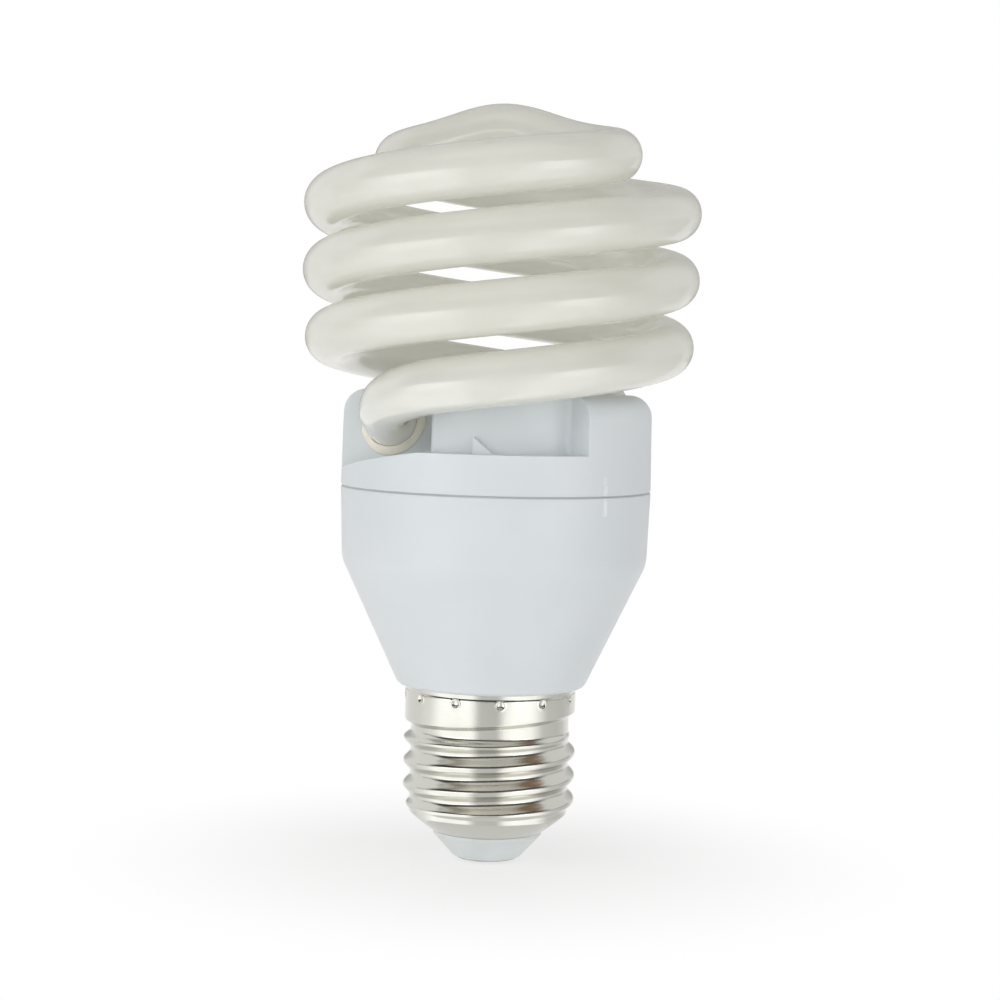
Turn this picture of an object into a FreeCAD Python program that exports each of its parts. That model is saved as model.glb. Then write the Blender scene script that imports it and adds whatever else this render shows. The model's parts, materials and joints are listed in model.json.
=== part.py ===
import FreeCAD, Part
import math
import os

V = FreeCAD.Vector
UP = V(0, 0, 1)
CENTRE = V(0, 0, 0)
edge_tolerance = 0.001

# Spiral energy saving lamp with an Edison screw cap. Millimetres and degrees.
# The origin is the tip of the centre contact, +Z runs up the lamp's axis, and -Y is the front.
# The glass tube and its cover repeat after half a turn about the axis.

# Screw cap, of the 27 mm Edison size
cap_length = 27.0
thread_crest_diameter = 26.4
thread_root_diameter = 24.2
thread_pitch = 3.63
thread_bottom_height = 7.5
thread_fade = 1.6
thread_turn = 118.0
cap_sheet = 0.35
collar_diameter = 26.1
collar_length = 4.45
collar_groove_width = 1.0
collar_lean = 0.85
collar_lean_turn = 0.0
thread_top_gap = 1.25
cap_lip_radius = 8.4
cap_lip_height = 4.5
cap_cone_bulge = 1.2
crimp_count = 12
crimp_dent_radius = 0.9
crimp_dent_depth = 0.22
crimp_height_below_rim = 1.0
crimp_turn = 6.7
contact_radius = 4.6
contact_crown = 0.3
contact_rim = 0.5
contact_stem_radius = 1.1
contact_stem_top = 8.4
insulator_foot_radius = 5.2
insulator_foot_round = 0.2
insulator_lip = 0.4
insulator_lip_round = 0.3
insulator_flange = 1.6
insulator_flange_reach = 0.96

# Lower housing, a moulded shell round the ballast
housing_radius = 23.6
housing_draft = 0.35
housing_height = 30.2
housing_wall = 1.6
housing_side_height = 11.07
housing_shoulder_round = 5.0
housing_foot_radius = 14.25
housing_foot_round = 1.2
neck_clearance = 0.05
neck_length = 3.2
neck_wall = 1.4
seam_chamfer = 0.25
board_rib_count = 4
board_rib_width = 2.0
board_rib_reach = 2.4
board_rib_length = 13.0
board_rib_turn = 20.0

# Top cover, which holds the two ends of the tube
cover_height = 14.6
cover_wall = 1.3
cover_draft = 0.2
cover_edge_round = 3.4
cover_core_gap = 1.7
ledge_depth = 8.6
ledge_start_angle = 225.0
ledge_end_angle = 304.8
pocket_half_width = 9.5
notch_corner_round = 0.8
ramp_fall = 9.2
ramp_direction = 120.6
skirt_wall = 1.2
skirt_clearance = 0.15
skirt_board_gap = 0.2
gusset_length = 2.9
gusset_height = 2.4
gusset_reach = 1.8
gusset_angle = 260.2
index_mark_angle = 312.7
index_mark_width = 0.6
index_mark_proud = 0.15
cover_mark_length = 1.1
housing_mark_length = 2.3
index_mark_gap = 0.5

# Glass tube: two strands of a coil, joined over the top in an S with a hump
tube_diameter = 8.0
coil_radius = 26.1
coil_start_overhang = 0.5
coil_widening_turn = 220.0
coil_pitch = 20.4
coil_front_lift = 2.4
coil_start_angle = 258.0
crown_start_angle = 681.0
crown_end_angle = 889.2
crown_power = 7.0
crown_sink = 0.77
crown_hump = 2.88
crown_hump_reach = 8.64
tail_bend_radius = 15.6
tail_bend_turn = 93.0
tail_straight = 10.0
wall_past_bend = 1.0
hole_gap = 0.35
hole_bridge = 0.35
cement_clearance = 0.05
cement_bead_reach = 1.35
cement_bead_height = 1.2
cement_bead_root = 0.4
cement_bead_shoulder = 0.42
cement_bead_round = 0.2

# Ballast board and the pieces on it
board_thickness = 1.6
board_depth_below_seam = 4.0
board_clearance = 0.3
lead_radius = 0.3
lead_hole_clearance = 0.06
lead_stub = 1.2
pin_width = 0.8
pin_height = 5.0
pin_wall_gap = 3.0
pin_near_arc = 4.6
pin_far_arc = 12.3
wrap_height = 2.2
wrap_below_tip = 1.1
wrap_wall = 0.5
wrap_clearance = 0.04
wire_radius = 0.25
wire_bend = 0.8
wire_spread = 1.6
wire_run = 2.2
shell_lead_y = 2.4
contact_lead_y = 0.2
supply_wire_radius = 0.5
supply_wire_bend = 3.0
wire_end_gap = 0.1

electrolytic_radius = 5.0
electrolytic_length = 16.0
electrolytic_y = -5.0
electrolytic_lead_half_pitch = 2.5
electrolytic_groove = 0.5
electrolytic_groove_below = 2.24
electrolytic_round = 0.4

choke_core_width = 16.0
choke_core_depth = 4.8
choke_half_height = 7.1
choke_centre_leg = 4.0
choke_window_width = 11.8
choke_window_half = 5.0
choke_bobbin_wall = 0.7
choke_flange = 0.8
choke_flange_depth = 10.6
choke_base = 1.2
choke_fit = 0.1
choke_winding_margin = 0.5

toroid_y = 5.5
toroid_outer_radius = 4.4
toroid_inner_radius = 2.3
toroid_height = 4.0
toroid_round = 0.3
toroid_winding = 0.45
toroid_fit = 0.05
toroid_winding_sweep = 60.0
toroid_winding_count = 3

transistor_width = 7.8
transistor_depth = 2.7
transistor_height = 10.0
transistor_stand = 1.6
transistor_wall_gap = 0.6
transistor_gap = 1.4
transistor_lead_pitch = 2.3
transistor_hole_radius = 1.55
transistor_hole_inset = 3.72

film_length = 11.5
film_depth = 5.0
film_height = 9.5
film_round = 1.2
film_x = -4.2
film_y = 12.2
film_lead_half_pitch = 3.75

edge_part_margin = 5.0
diode_radius = 1.25
diode_length = 4.4
diode_stand = 1.2
diode_round = 0.2
diode_angles = (282.5, 293.0, 303.5, 314.0)
resistor_radius = 1.15
resistor_length = 5.6
resistor_waist = 0.2
resistor_taper = 0.5
resistor_round = 0.4
resistor_angles = (42.0, 53.0, 64.0)
axial_lead_offset = 2.0
axial_lead_bend = 0.9
axial_lead_drop = 2.3

filter_core_radius = 2.7
filter_core_height = 7.0
filter_waist_radius = 1.4
filter_flange = 0.9
filter_edge_gap = 1.2
filter_fit = 0.05
filter_winding_margin = 0.3

# Shares of the free room between the parts that stand in a row across the board
row_gap_shares = (0.20, 0.11, 0.14, 0.55)

# Heights and radii that follow from the driving dimensions
seam_height = cap_length + housing_height
cover_top = seam_height + cover_height
ledge_height = cover_top - ledge_depth
tube_radius = tube_diameter / 2
hole_radius = tube_radius + hole_gap
coil_start_radius = housing_radius + coil_start_overhang
cover_core_radius = coil_start_radius - tube_radius - cover_core_gap
coil_front_height = cover_top + coil_front_lift
coil_slope = coil_pitch / (2 * math.pi * coil_radius)
tail_end_height = cover_top - hole_bridge - hole_radius
board_bottom = seam_height - board_depth_below_seam
board_top = board_bottom + board_thickness
housing_inner_radius = housing_radius - housing_wall
board_radius = housing_inner_radius - housing_draft - board_clearance
collar_radius = collar_diameter / 2
thread_top_height = cap_length - collar_length - collar_groove_width - thread_top_gap
neck_radius = collar_radius - cap_sheet - neck_clearance
edge_part_radius = board_radius - edge_part_margin
shoulder_radius = housing_radius - housing_draft
cone_top = seam_height - housing_side_height
cone_slope = (shoulder_radius - housing_foot_radius) / (cone_top - cap_length)
cone_wall = housing_wall * math.sqrt(1 + cone_slope ** 2)
skirt_outer_radius = housing_inner_radius - housing_draft - skirt_clearance
skirt_inner_radius = skirt_outer_radius - skirt_wall


def cone_radius_at(height):
    """Outer radius of the housing's cone."""
    return housing_foot_radius + cone_slope * (height - cap_length)


def row_places():
    """Middles along X of the parts in a row: filter choke, lamp choke, supply wires, ring, transistors.

    The row runs from the board's edge to the place where the transistors' feet clear the cone.
    """
    transistor_foot = board_bottom - transistor_stand - transistor_height
    wall = cone_radius_at(transistor_foot) - cone_wall - transistor_wall_gap
    corner = transistor_width + transistor_gap / 2
    right = math.sqrt(wall ** 2 - corner ** 2)
    left = filter_edge_gap - board_radius
    ring_width = 2 * (toroid_outer_radius + toroid_fit + toroid_winding)
    filter_width = 2 * filter_core_radius
    widths = (filter_width, choke_flange_depth, 2 * supply_wire_radius, ring_width, transistor_depth)
    free = right - left - sum(widths)
    middles = []
    edge = left
    for width, share in zip(widths, row_gap_shares + (0.0,)):
        middles.append(edge + width / 2)
        edge += width + free * share
    return middles


filter_x, choke_x, supply_lead_x, toroid_x, transistor_x = row_places()


def at(radius, angle, height):
    """Point at a radius, angle and height about the lamp's axis."""
    turn = math.radians(angle)
    return V(radius * math.cos(turn), radius * math.sin(turn), height)


def rounded_wire(corners):
    """Closed outline in the XZ plane through (r, z) or (r, z, round) corners, rounded by tangent arcs."""
    points = [V(corner[0], 0, corner[1]) for corner in corners]
    rounds = [corner[2] if len(corner) > 2 else 0.0 for corner in corners]
    entries = []
    exits = []
    arcs = []
    for i, point in enumerate(points):
        back = (points[i - 1] - point).normalize()
        ahead = (points[(i + 1) % len(points)] - point).normalize()
        half = back.getAngle(ahead) / 2
        inset = rounds[i] / math.tan(half)
        entries.append(point + back * inset)
        exits.append(point + ahead * inset)
        middle = point + (back + ahead).normalize() * (rounds[i] / math.sin(half) - rounds[i])
        arcs.append(Part.Arc(entries[i], middle, exits[i]).toShape() if rounds[i] else None)
    edges = []
    for i in range(len(points)):
        if arcs[i]:
            edges.append(arcs[i])
        edges.append(Part.makeLine(exits[i], entries[(i + 1) % len(points)]))
    return Part.Wire(edges)


def turned(corners, sweep=360.0):
    """Solid turned about the lamp's axis from an outline of (r, z) corners."""
    return Part.Face(rounded_wire(corners)).revolve(CENTRE, UP, sweep)


def spun(shape, angle):
    """Copy of a shape turned about the lamp's axis."""
    copy = shape.copy()
    copy.rotate(CENTRE, UP, angle)
    return copy


def moved(shape, place):
    """Copy of a shape shifted by a vector."""
    copy = shape.copy()
    copy.translate(place)
    return copy


def block(low, high):
    """Box between two corners."""
    return Part.makeBox(high[0] - low[0], high[1] - low[1], high[2] - low[2], V(*low))


def fused(shapes):
    """One solid from several that touch or overlap."""
    return shapes[0].multiFuse(shapes[1:]).removeSplitter()


def solid_from(faces):
    """Closed solid from faces that meet along their edges."""
    shell = Part.Shell(faces)
    shell.sewShape()
    solid = Part.Solid(shell)
    if solid.Volume < 0:
        solid.reverse()
    return solid


def bent_wire(points, radius, bend):
    """Round wire along straight runs joined by tangent arcs."""
    edges = []
    start = points[0]
    for before, corner, after in zip(points, points[1:], points[2:]):
        back = (before - corner).normalize()
        ahead = (after - corner).normalize()
        half = back.getAngle(ahead) / 2
        inset = bend / math.tan(half)
        middle = corner + (back + ahead).normalize() * (bend / math.sin(half) - bend)
        edges.append(Part.makeLine(start, corner + back * inset))
        edges.append(Part.Arc(corner + back * inset, middle, corner + ahead * inset).toShape())
        start = corner + ahead * inset
    edges.append(Part.makeLine(start, points[-1]))
    profile = Part.Wire([Part.makeCircle(radius, points[0], points[1] - points[0])])
    return Part.Wire(edges).makePipeShell([profile], True, False)


# Glass tube


def coil_radius_at(angle):
    """The coil leaves the cover at its start radius and widens evenly to its full radius."""
    left = max(0.0, 1.0 - (angle - coil_start_angle) / coil_widening_turn)
    return coil_radius - (coil_radius - coil_start_radius) * left ** 2


def coil_height_at(angle):
    """Height of a strand's centre line; the strand passes the front at 270 degrees."""
    return coil_front_height + coil_pitch * (angle - 270.0) / 360.0


def crown_point(share):
    """Top of a strand: the radius falls to nothing at the axis, where the tube rises in a hump."""
    radius = coil_radius * math.sqrt(max(0.0, 1.0 - share ** crown_power))
    angle = crown_start_angle + share * (crown_end_angle - crown_start_angle)
    hump = crown_hump * math.exp(-(radius / crown_hump_reach) ** 2)
    return at(radius, angle, coil_height_at(angle) - crown_sink * share + hump)


def tail_bend():
    """Points of the bend from the coil's start into the cover, and the tube's heading at its end."""
    start = at(coil_radius_at(coil_start_angle), coil_start_angle, 0)
    widening = 2 * (coil_radius - coil_start_radius) / math.radians(coil_widening_turn)
    outwards = at(1, coil_start_angle, 0)
    along = UP.cross(outwards)
    back = (outwards * -widening - along * coil_start_radius).normalize()
    inwards = back.cross(UP)
    turn = math.radians(tail_bend_turn)
    fall = coil_slope * tail_bend_radius * turn
    drop = coil_height_at(coil_start_angle) - fall - tail_end_height
    steps = 8
    points = []
    for i in range(steps + 1):
        share = i / steps
        swing = turn * share
        point = start + inwards * (tail_bend_radius * (1 - math.cos(swing)))
        point += back * (tail_bend_radius * math.sin(swing))
        point.z = coil_height_at(coil_start_angle) - fall * share - drop * share ** 2
        points.append(point)
    heading = back * math.cos(turn) + inwards * math.sin(turn)
    heading.z = -(fall + 2 * drop) / (turn * tail_bend_radius)
    return points, heading.normalize()


tail_points, tail_heading = tail_bend()
tail_side = tail_heading.cross(UP).normalize()
tail_rise = tail_side.cross(tail_heading)
hole_centre = tail_points[-1] + tail_heading * wall_past_bend
tube_end = tail_points[-1] + tail_heading * tail_straight


def strand_points():
    """Centre line of one strand from its end in the cover to just before the axis."""
    straight_steps = 4
    coil_steps = 28
    crown_shares = [0.08 * i for i in range(1, 11)]
    crown_ratios = [0.78, 0.66, 0.54, 0.42, 0.3, 0.2, 0.1]
    points = []
    for i in range(straight_steps):
        points.append(tube_end - tail_heading * (tail_straight * i / straight_steps))
    points += tail_points[:0:-1]
    for i in range(coil_steps + 1):
        angle = coil_start_angle + (crown_start_angle - coil_start_angle) * i / coil_steps
        points.append(at(coil_radius_at(angle), angle, coil_height_at(angle)))
    points += [crown_point(share) for share in crown_shares]
    points += [crown_point((1.0 - ratio ** 2) ** (1.0 / crown_power)) for ratio in crown_ratios]
    return points


def round_tube(points, radius):
    """Round rod carried along a smooth line: exact circles at the points, joined by cubic curves."""
    spine = Part.BSplineCurve()
    spine.interpolate(points)
    marks = [spine.parameter(point) for point in points]
    corners = [(1, 0), (1, 1), (0, 1), (-1, 1), (-1, 0), (-1, -1), (0, -1), (1, -1), (1, 0)]
    frames = []
    for point, mark in zip(points, marks):
        heading = spine.tangent(mark)[0]
        side = heading.cross(UP).normalize()
        frames.append((point, side, side.cross(heading)))
    columns = []
    for across, above in corners:
        line = Part.BSplineCurve()
        line.interpolate(
            Points=[p + side * (radius * across) + rise * (radius * above) for p, side, rise in frames],
            Parameters=marks,
        )
        columns.append(line)
    column_poles = [line.getPoles() for line in columns]
    rows = [list(row) for row in zip(*column_poles)]
    weights = [[1.0, math.sqrt(0.5)] * 4 + [1.0] for row in rows]
    knots = columns[0].getKnots()
    skin = Part.BSplineSurface()
    skin.buildFromPolesMultsKnots(
        rows, columns[0].getMultiplicities(), [3, 2, 2, 2, 3], knots, [0, 1, 2, 3, 4],
        False, False, 3, 2, weights,
    )
    knots_per_face = 8
    splits = knots[:-1:knots_per_face] + [knots[-1]]
    faces = []
    for low, high in zip(splits, splits[1:]):
        span = skin.copy()
        span.segment(low, high, 0, 4)
        faces.append(span.toShape())
    for mark in (knots[0], knots[-1]):
        faces.append(Part.Face(Part.Wire([skin.uIso(mark).toShape()])))
    return solid_from(faces)


def spiral_tube():
    strand = strand_points()
    other = [V(-point.x, -point.y, point.z) for point in reversed(strand)]
    return round_tube(strand + [crown_point(1.0)] + other, tube_radius)


def in_tail_frame(shape, origin):
    """Moves a shape made about +Z so that +Z runs along the tube's end and +X to its side."""
    matrix = FreeCAD.Matrix(
        tail_side.x, -tail_rise.x, tail_heading.x, origin.x,
        tail_side.y, -tail_rise.y, tail_heading.y, origin.y,
        tail_side.z, -tail_rise.z, tail_heading.z, origin.z,
        0, 0, 0, 1,
    )
    copy = shape.copy()
    copy.Placement = FreeCAD.Placement(matrix)
    return copy


def tube_cement():
    """Ring of cement in each hole, with a bead on the outside of the wall, smoothed off at the roof."""
    inner = tube_radius + cement_clearance
    outer = hole_radius - cement_clearance
    bead = tube_radius + cement_bead_reach
    ring = turned([
        (inner, -cement_bead_height),
        (inner + cement_bead_root, -cement_bead_height, cement_bead_round),
        (bead, -cement_bead_shoulder, cement_bead_round),
        (bead, 0.0),
        (outer, 0.0),
        (outer, cover_wall),
        (inner, cover_wall),
    ])
    reach = 2 * housing_radius
    above_roof = block((-reach, -reach, cover_top), (reach, reach, cover_top + reach))
    ring = in_tail_frame(ring, hole_centre).cut(above_roof)
    return Part.makeCompound([ring, spun(ring, 180)])


# Top cover


def notch(grow):
    """Space cut for one end of the tube: a ledge in front of the core, and a pocket with a sloping floor.

    The pocket ends at a wall square to the tube. All walls stand back by grow.
    """
    reach = 2 * housing_radius
    above = cover_top + reach
    end = ledge_end_angle + math.degrees(grow / housing_radius)
    core = cover_core_radius - grow
    ledge = Part.Face(Part.makePolygon([
        V(core, 0, ledge_height - grow), V(reach, 0, ledge_height - grow),
        V(reach, 0, above), V(core, 0, above), V(core, 0, ledge_height - grow),
    ])).revolve(CENTRE, UP, end - ledge_start_angle)
    ledge = spun(ledge, ledge_start_angle)
    pocket = block((-reach, -reach, -reach), (pocket_half_width + grow, reach, grow))
    pocket = in_tail_frame(pocket, hole_centre)
    fall = math.radians(ramp_fall)
    downhill = at(1, ramp_direction, 0)
    normal = downhill * math.sin(fall) + UP * math.cos(fall)
    floor = block((-3 * reach, -3 * reach, 0), (3 * reach, 3 * reach, 3 * reach))
    floor.Placement = FreeCAD.Placement(ramp_start() - UP * grow, FreeCAD.Rotation(UP, normal))
    return ledge.fuse(pocket.common(floor))


def ramp_start():
    """Point of the rim where the pocket's side meets the ledge and its floor begins to fall."""
    side = V(tail_side.x, tail_side.y, 0)
    across = hole_centre.dot(side) + pocket_half_width
    forward = V(tail_heading.x, tail_heading.y, 0).normalize()
    rim = housing_radius - cover_draft * (ledge_height - seam_height) / cover_height
    point = side * across - forward * math.sqrt(rim ** 2 - across ** 2)
    point.z = ledge_height
    return point


def cover_blank(inset, foot):
    """Turned blank of the cover; inset stands it back on all sides."""
    return turned([
        (0, foot),
        (housing_radius - inset, foot),
        (housing_radius - cover_draft - inset, cover_top - inset, cover_edge_round - inset),
        (0, cover_top - inset),
    ])


def notch_corners(blank):
    """Straight edges of the notched blank that stand up to the roof."""
    found = []
    for edge in blank.Edges:
        straight = edge.Curve.TypeId == "Part::GeomLine"
        to_roof = edge.BoundBox.ZMax > cover_top - edge_tolerance
        if straight and to_roof and edge.BoundBox.ZLength > cover_edge_round:
            found.append(edge)
    return found


def index_mark(low, high):
    """Raised stroke on the side wall that shows how cover and housing line up."""
    half = index_mark_width / 2
    stroke = block(
        (housing_radius - housing_draft - index_mark_proud, -half, low),
        (housing_radius + index_mark_proud, half, high),
    )
    return spun(stroke, index_mark_angle)


def gusset():
    """Small wedge that props the core on the ledge."""
    foot = cover_core_radius - cover_wall / 2
    outline = Part.makePolygon([
        V(0, 0, ledge_height), V(gusset_length, 0, ledge_height),
        V(0, 0, ledge_height + gusset_height), V(0, 0, ledge_height),
    ])
    wedge = Part.Face(outline).extrude(V(0, -(gusset_reach + cover_wall / 2), 0))
    wedge.translate(V(0, -foot, 0))
    return spun(wedge, gusset_angle - 270.0)


def top_cover():
    outside = cover_blank(0.0, seam_height)
    inside = cover_blank(cover_wall, seam_height - cover_wall)
    chamfer = turned([
        (housing_radius - seam_chamfer, seam_height),
        (2 * housing_radius, seam_height),
        (2 * housing_radius, seam_height + seam_chamfer),
        (housing_radius, seam_height + seam_chamfer),
    ])
    outside = outside.cut(chamfer)
    spaces = [spun(notch(0.0), turn) for turn in (0, 180)]
    outside = outside.cut(spaces).removeSplitter()
    outside = outside.makeFillet(notch_corner_round, notch_corners(outside))
    inside = inside.cut([spun(notch(cover_wall), turn) for turn in (0, 180)])
    shell = outside.cut(inside)
    skirt_foot = board_top + skirt_board_gap
    skirt = turned([
        (skirt_inner_radius, skirt_foot),
        (skirt_outer_radius, skirt_foot),
        (skirt_outer_radius, seam_height),
        (housing_radius - cover_wall, seam_height),
        (housing_radius - cover_wall, seam_height + skirt_wall),
        (skirt_inner_radius, seam_height + skirt_wall),
    ])
    mark_foot = seam_height + index_mark_gap
    pieces = [shell, skirt, index_mark(mark_foot, mark_foot + cover_mark_length)]
    pieces += [spun(gusset(), turn) for turn in (0, 180)]
    cover = fused(pieces)
    bore = Part.makeCylinder(hole_radius, 4 * cover_wall, V(0, 0, -2 * cover_wall))
    bore = in_tail_frame(bore, hole_centre)
    for turn in (0, 180):
        cover = cover.cut(spun(bore, turn))
    return cover


# Lower housing


def lower_housing():
    neck_inner = neck_radius - neck_wall
    inner_foot = cap_length + housing_wall
    inner_foot_radius = cone_radius_at(inner_foot) - cone_wall
    inner_cone_top = cone_top + (cone_wall - housing_wall) / cone_slope
    outside = [
        (neck_radius, cap_length - neck_length),
        (neck_radius, cap_length),
        (housing_foot_radius, cap_length, housing_foot_round),
        (shoulder_radius, cone_top, housing_shoulder_round),
        (housing_radius, seam_height - seam_chamfer),
        (housing_radius - seam_chamfer, seam_height),
    ]
    inside = [
        (housing_inner_radius, seam_height),
        (shoulder_radius - housing_wall, inner_cone_top, housing_shoulder_round - housing_wall),
        (inner_foot_radius, inner_foot),
        (neck_inner, inner_foot),
        (neck_inner, cap_length - neck_length),
    ]
    shell = turned(outside + inside)
    filled = turned(outside + [(0, seam_height), (0, cap_length - neck_length)])
    rib = block(
        (board_radius - board_rib_reach, -board_rib_width / 2, board_bottom - board_rib_length),
        (housing_radius, board_rib_width / 2, board_bottom),
    )
    ribs = []
    for i in range(board_rib_count):
        ribs.append(spun(rib, board_rib_turn + 360.0 * i / board_rib_count).common(filled))
    mark_top = seam_height - index_mark_gap
    return fused([shell] + ribs + [index_mark(mark_top - housing_mark_length, mark_top)])


# Screw cap


def cap_rows():
    """Heights of the cap's skin from rim to lip, each with its radius and its shares of lean and thread."""
    root = thread_root_diameter / 2
    rows = []
    collar_steps = 6
    for i in range(collar_steps + 1):
        share = i / collar_steps
        rows.append((cap_length - collar_length * share, collar_radius, share, 0.0))
    groove_steps = 4
    for i in range(1, groove_steps + 1):
        share = i / groove_steps
        blend = 0.5 - 0.5 * math.cos(math.pi * share)
        radius = collar_radius + (root - collar_radius) * blend
        rows.append((cap_length - collar_length - collar_groove_width * share, radius, 1.0, 0.0))
    rows_per_pitch = 9
    thread_length = thread_top_height - thread_bottom_height
    thread_steps = round(rows_per_pitch * thread_length / thread_pitch)
    for i in range(thread_steps + 1):
        height = thread_top_height - thread_length * i / thread_steps
        ends = min(thread_top_height - height, height - thread_bottom_height)
        fade = min(1.0, max(0.0, ends / thread_fade))
        rows.append((height, root, 0.0, fade * fade * (3 - 2 * fade)))
    cone_steps = 5
    for i in range(1, cone_steps + 1):
        share = i / cone_steps
        height = thread_bottom_height + (cap_lip_height - thread_bottom_height) * share
        rows.append((height, root + (cap_lip_radius - root) * share ** cap_cone_bulge, 0.0, 0.0))
    return rows


def cap_skin(inset):
    """Skin of the rolled cap: a cosine wave of the thread's pitch that climbs once round the axis.

    The groove under the collar leans, as it follows the first turn of the thread on one side.
    """
    depth = (thread_crest_diameter - thread_root_diameter) / 2
    columns = 24
    grid = []
    for level, radius, lean, share in cap_rows():
        line = []
        for i in range(columns + 1):
            angle = 360.0 * (i % columns) / columns
            height = level + lean * collar_lean * math.cos(math.radians(angle - collar_lean_turn))
            climb = 360.0 * height / thread_pitch - (angle - thread_turn)
            wave = 0.5 + 0.5 * math.cos(math.radians(climb))
            line.append(at(radius + depth * share * wave - inset, angle, height))
        grid.append(line)
    skin = Part.BSplineSurface()
    skin.interpolate(grid)
    return skin


def screw_shell():
    outer = cap_skin(0.0)
    inner = cap_skin(cap_sheet)
    faces = [outer.toShape(), inner.toShape()]
    for end in (0, 1):
        rims = [Part.Wire([skin.uIso(skin.bounds()[end]).toShape()]) for skin in (outer, inner)]
        faces.append(Part.Face(rims))
    shell = solid_from(faces)
    dent = Part.makeSphere(crimp_dent_radius, V(collar_radius + crimp_dent_radius - crimp_dent_depth, 0, 0))
    dent.translate(UP * (cap_length - crimp_height_below_rim))
    for i in range(crimp_count):
        shell = shell.cut(spun(dent, crimp_turn + 360.0 * i / crimp_count))
    return shell


def cap_insulator():
    """Cone of glass that closes the cap's lip and carries the centre contact."""
    lip_inner = cap_lip_radius - cap_sheet - neck_clearance
    flange_foot = cap_lip_height + cap_sheet
    return turned([
        (contact_stem_radius + neck_clearance, contact_rim + contact_crown),
        (contact_radius + neck_clearance, contact_rim + contact_crown),
        (contact_radius + neck_clearance, contact_crown),
        (insulator_foot_radius, contact_crown, insulator_foot_round),
        (cap_lip_radius, cap_lip_height - insulator_lip, insulator_lip_round),
        (cap_lip_radius, cap_lip_height),
        (lip_inner, cap_lip_height),
        (lip_inner, flange_foot),
        (lip_inner + insulator_flange_reach, flange_foot + insulator_flange),
        (contact_stem_radius + neck_clearance, flange_foot + insulator_flange),
    ])


def centre_contact():
    """Pressed contact with a low dome, on a stem through the insulator."""
    dome = (contact_radius ** 2 + contact_crown ** 2) / (2 * contact_crown)
    edge = V(contact_radius, 0, contact_crown)
    half = math.asin(contact_radius / dome) / 2
    bow = Part.Arc(V(0, 0, 0), V(dome * math.sin(half), 0, dome * (1 - math.cos(half))), edge).toShape()
    plate_top = contact_crown + contact_rim
    rest = Part.makePolygon([
        edge, V(contact_radius, 0, plate_top), V(contact_stem_radius, 0, plate_top),
        V(contact_stem_radius, 0, contact_stem_top), V(0, 0, contact_stem_top), V(0, 0, 0),
    ])
    return Part.Face(Part.Wire([bow] + rest.Edges)).revolve(CENTRE, UP, 360)


# Ballast


def film_places():
    """Centres of the two film capacitors."""
    return [(film_x, film_y), (film_x, -film_y)]


def transistor_places():
    """Centres of the two power transistors, side by side near the board's edge."""
    y = (transistor_width + transistor_gap) / 2
    return [(transistor_x, -y), (transistor_x, y)]


def axial_leads(angles):
    """Both leads of each upright axial part: through its middle, and bent over beside it."""
    places = []
    for angle in angles:
        places.append(at(edge_part_radius, angle, 0))
        places.append(at(edge_part_radius + axial_lead_offset, angle, 0))
    return places


def electrolytic_leads():
    return [V(toroid_x, electrolytic_y + s * electrolytic_lead_half_pitch, 0) for s in (-1, 1)]


def bobbin_pins():
    """Pins at the four corners of the choke's base."""
    base_x = choke_flange_depth / 2 - choke_base
    base_y = choke_window_width / 2 - choke_base
    return [V(choke_x + sx * base_x, sy * base_y, 0) for sx in (-1, 1) for sy in (-1, 1)]


def transistor_leads(x, y):
    return [V(x, y + i * transistor_lead_pitch, 0) for i in (-1, 0, 1)]


def film_leads(x, y):
    return [V(x + s * film_lead_half_pitch, y, 0) for s in (-1, 1)]


def filter_leads():
    return [V(filter_x, s * filter_core_radius / 2, 0) for s in (-1, 1)]


def lead_places():
    """Every place where a part's lead or a supply wire passes through the board."""
    places = electrolytic_leads() + bobbin_pins() + filter_leads()
    for x, y in transistor_places():
        places += transistor_leads(x, y)
    for x, y in film_places():
        places += film_leads(x, y)
    return places + axial_leads(diode_angles) + axial_leads(resistor_angles)


def leads(places, foot):
    """Lead wires from a part's body up through the board."""
    length = board_top + lead_stub - foot
    return [Part.makeCylinder(lead_radius, length, V(place.x, place.y, foot)) for place in places]


def pin_places():
    """Wrap pins ahead of the tube's ends, on a circle inside the cover's skirt: a far and a near one each."""
    circle = skirt_inner_radius - pin_wall_gap
    end_angle = math.degrees(math.atan2(tube_end.y, tube_end.x))
    pair = [at(circle, end_angle - math.degrees(arc / circle), 0) for arc in (pin_far_arc, pin_near_arc)]
    return pair + [V(-place.x, -place.y, 0) for place in pair]


def circuit_board():
    board = Part.makeCylinder(board_radius, board_thickness, V(0, 0, board_bottom))
    hole_size = lead_radius + lead_hole_clearance
    low = board_bottom - board_thickness
    high = board_top + board_thickness
    cuts = [Part.makeCylinder(hole_size, high - low, V(p.x, p.y, low)) for p in lead_places()]
    supply_size = supply_wire_radius + lead_hole_clearance
    for y in (shell_lead_y, contact_lead_y):
        cuts.append(Part.makeCylinder(supply_size, high - low, V(supply_lead_x, y, low)))
    half = pin_width / 2 + lead_hole_clearance / 2
    for p in pin_places():
        cuts.append(block((p.x - half, p.y - half, low), (p.x + half, p.y + half, high)))
    return board.cut(Part.makeCompound(cuts))


def wrap_pins():
    half = pin_width / 2
    top = board_top + pin_height
    return Part.makeCompound([
        block((p.x - half, p.y - half, board_bottom), (p.x + half, p.y + half, top)) for p in pin_places()
    ])


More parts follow.
